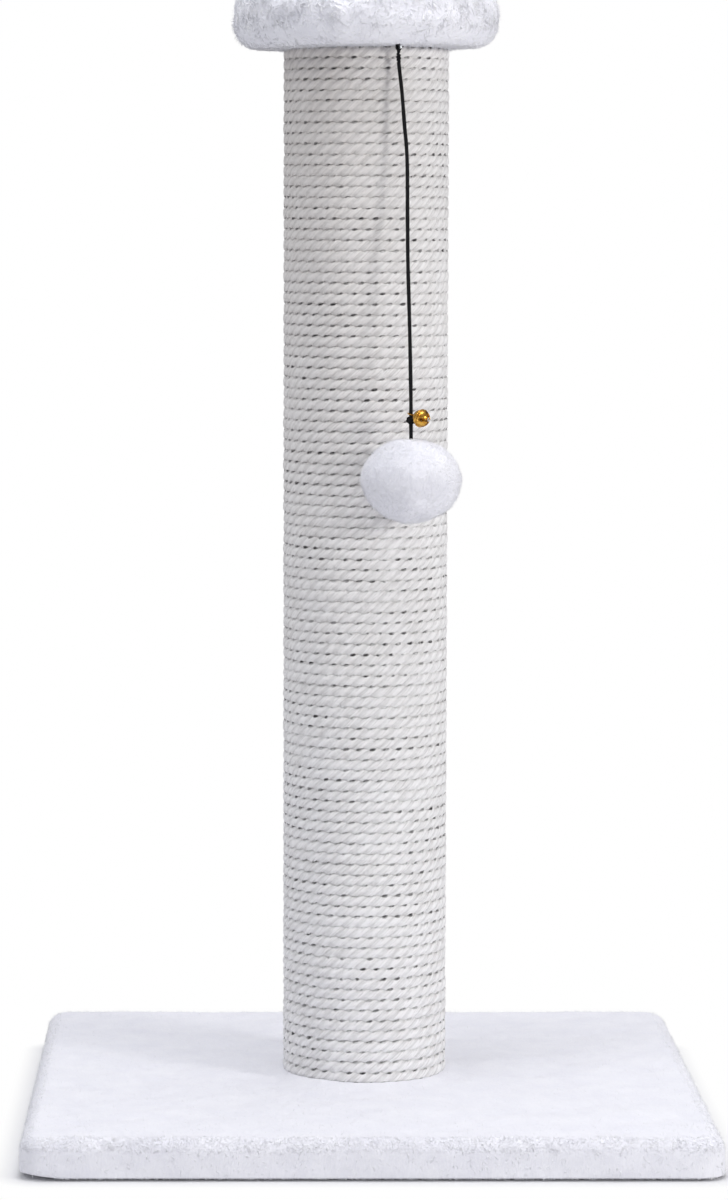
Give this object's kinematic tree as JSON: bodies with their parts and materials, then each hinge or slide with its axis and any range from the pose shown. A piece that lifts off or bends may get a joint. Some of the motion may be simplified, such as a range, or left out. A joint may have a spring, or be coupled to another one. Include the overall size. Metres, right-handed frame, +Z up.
{
  "type": "cat scratching post",
  "caption": "Free-standing cat scratching post: plush covered square base, upright rope wound post, small padded round top, and a plush ball with a bell on an elastic cord.",
  "frame": {"origin": "on the floor, on the axis of the post, in the middle of the base", "axes": "+Z up along the post, -Y towards the front of the base, +X to the right seen from the front"},
  "size_m": [0.4, 0.4, 0.6801],
  "materials": {
    "plush": "matte",
    "rope": "matte",
    "board": "matte",
    "cardboard": "matte",
    "felt": "matte",
    "steel": "satin",
    "foam": "matte",
    "wadding": "matte",
    "elastic": "matte",
    "gold": "gloss"
  },
  "bodies": {
    "stand": {"base_board": "board", "base_bolt": "steel", "base_bolt_washer": "steel", "base_liner": "felt", "base_plush_cover": "plush", "base_staple_1": "steel", "base_staple_2": "steel", "base_staple_3": "steel", "base_staple_4": "steel", "base_staple_5": "steel", "base_staple_6": "steel", "base_staple_7": "steel", "base_staple_8": "steel", "bottom_plug": "board", "bottom_plug_nail_1": "steel", "bottom_plug_nail_2": "steel", "bottom_plug_nail_3": "steel", "bottom_tee_nut": "steel", "platform_board": "board", "platform_foam": "foam", "platform_hanger_bolt": "steel", "platform_plush_cover": "plush", "platform_staple_1": "steel", "platform_staple_2": "steel", "platform_staple_3": "steel", "platform_staple_4": "steel", "post_tube": "cardboard", "rope_coil_bottom": "rope", "rope_coil_top": "rope", "rope_middle": "rope", "rope_tack_bottom": "steel", "rope_tack_top": "steel", "top_plug": "board", "top_plug_nail_1": "steel", "top_plug_nail_2": "steel", "top_plug_nail_3": "steel", "top_tee_nut": "steel", "toy_staple": "steel"},
    "toy_pivot": {"elastic_loop": "elastic", "elastic_top_knot": "elastic"},
    "toy_line": {"elastic_cord": "elastic"},
    "toy_lower": {"elastic_lower_knot": "elastic", "elastic_tail": "elastic", "ball_knot": "elastic"},
    "bell": {"bell_upper_shell": "gold", "bell_lower_shell": "gold", "bell_eye": "gold", "bell_pea": "steel"},
    "toy_ball": {"ball_plush_cover": "plush", "ball_filling": "wadding"}
  },
  "joints": [
    {"name": "toy_side_swing", "type": "hinge", "parent": "stand", "child": "toy_pivot", "pos_m": [0.01736, -0.05218, 0.6348], "axis": [0.3156, -0.9489, 0], "range_deg": [-70, 70]},
    {"name": "toy_out_swing", "type": "hinge", "parent": "toy_pivot", "child": "toy_line", "pos_m": [0.01736, -0.05218, 0.6267], "axis": [-0.9489, -0.3156, 0], "range_deg": [0, 70]},
    {"name": "toy_bounce", "type": "slide", "parent": "toy_line", "child": "toy_lower", "axis": [0.0106, -0.0899, -0.9959], "range_m": [0, 0.08], "stiffness_N_per_m": 20, "springref_m": -0.016, "deforming": ["elastic_cord"]},
    {"name": "ball_spin", "type": "hinge", "parent": "toy_lower", "child": "toy_ball", "pos_m": [0.02483, -0.07462, 0.385], "axis": [0.0106, -0.0899, -0.9959], "range_deg": [-180, 180]},
    {"name": "bell_swing", "type": "hinge", "parent": "toy_lower", "child": "bell", "pos_m": [0.02453, -0.07118, 0.4233], "axis": [-0.5837, -0.8092, 0.0668], "range_deg": [0, 45]}
  ]
}
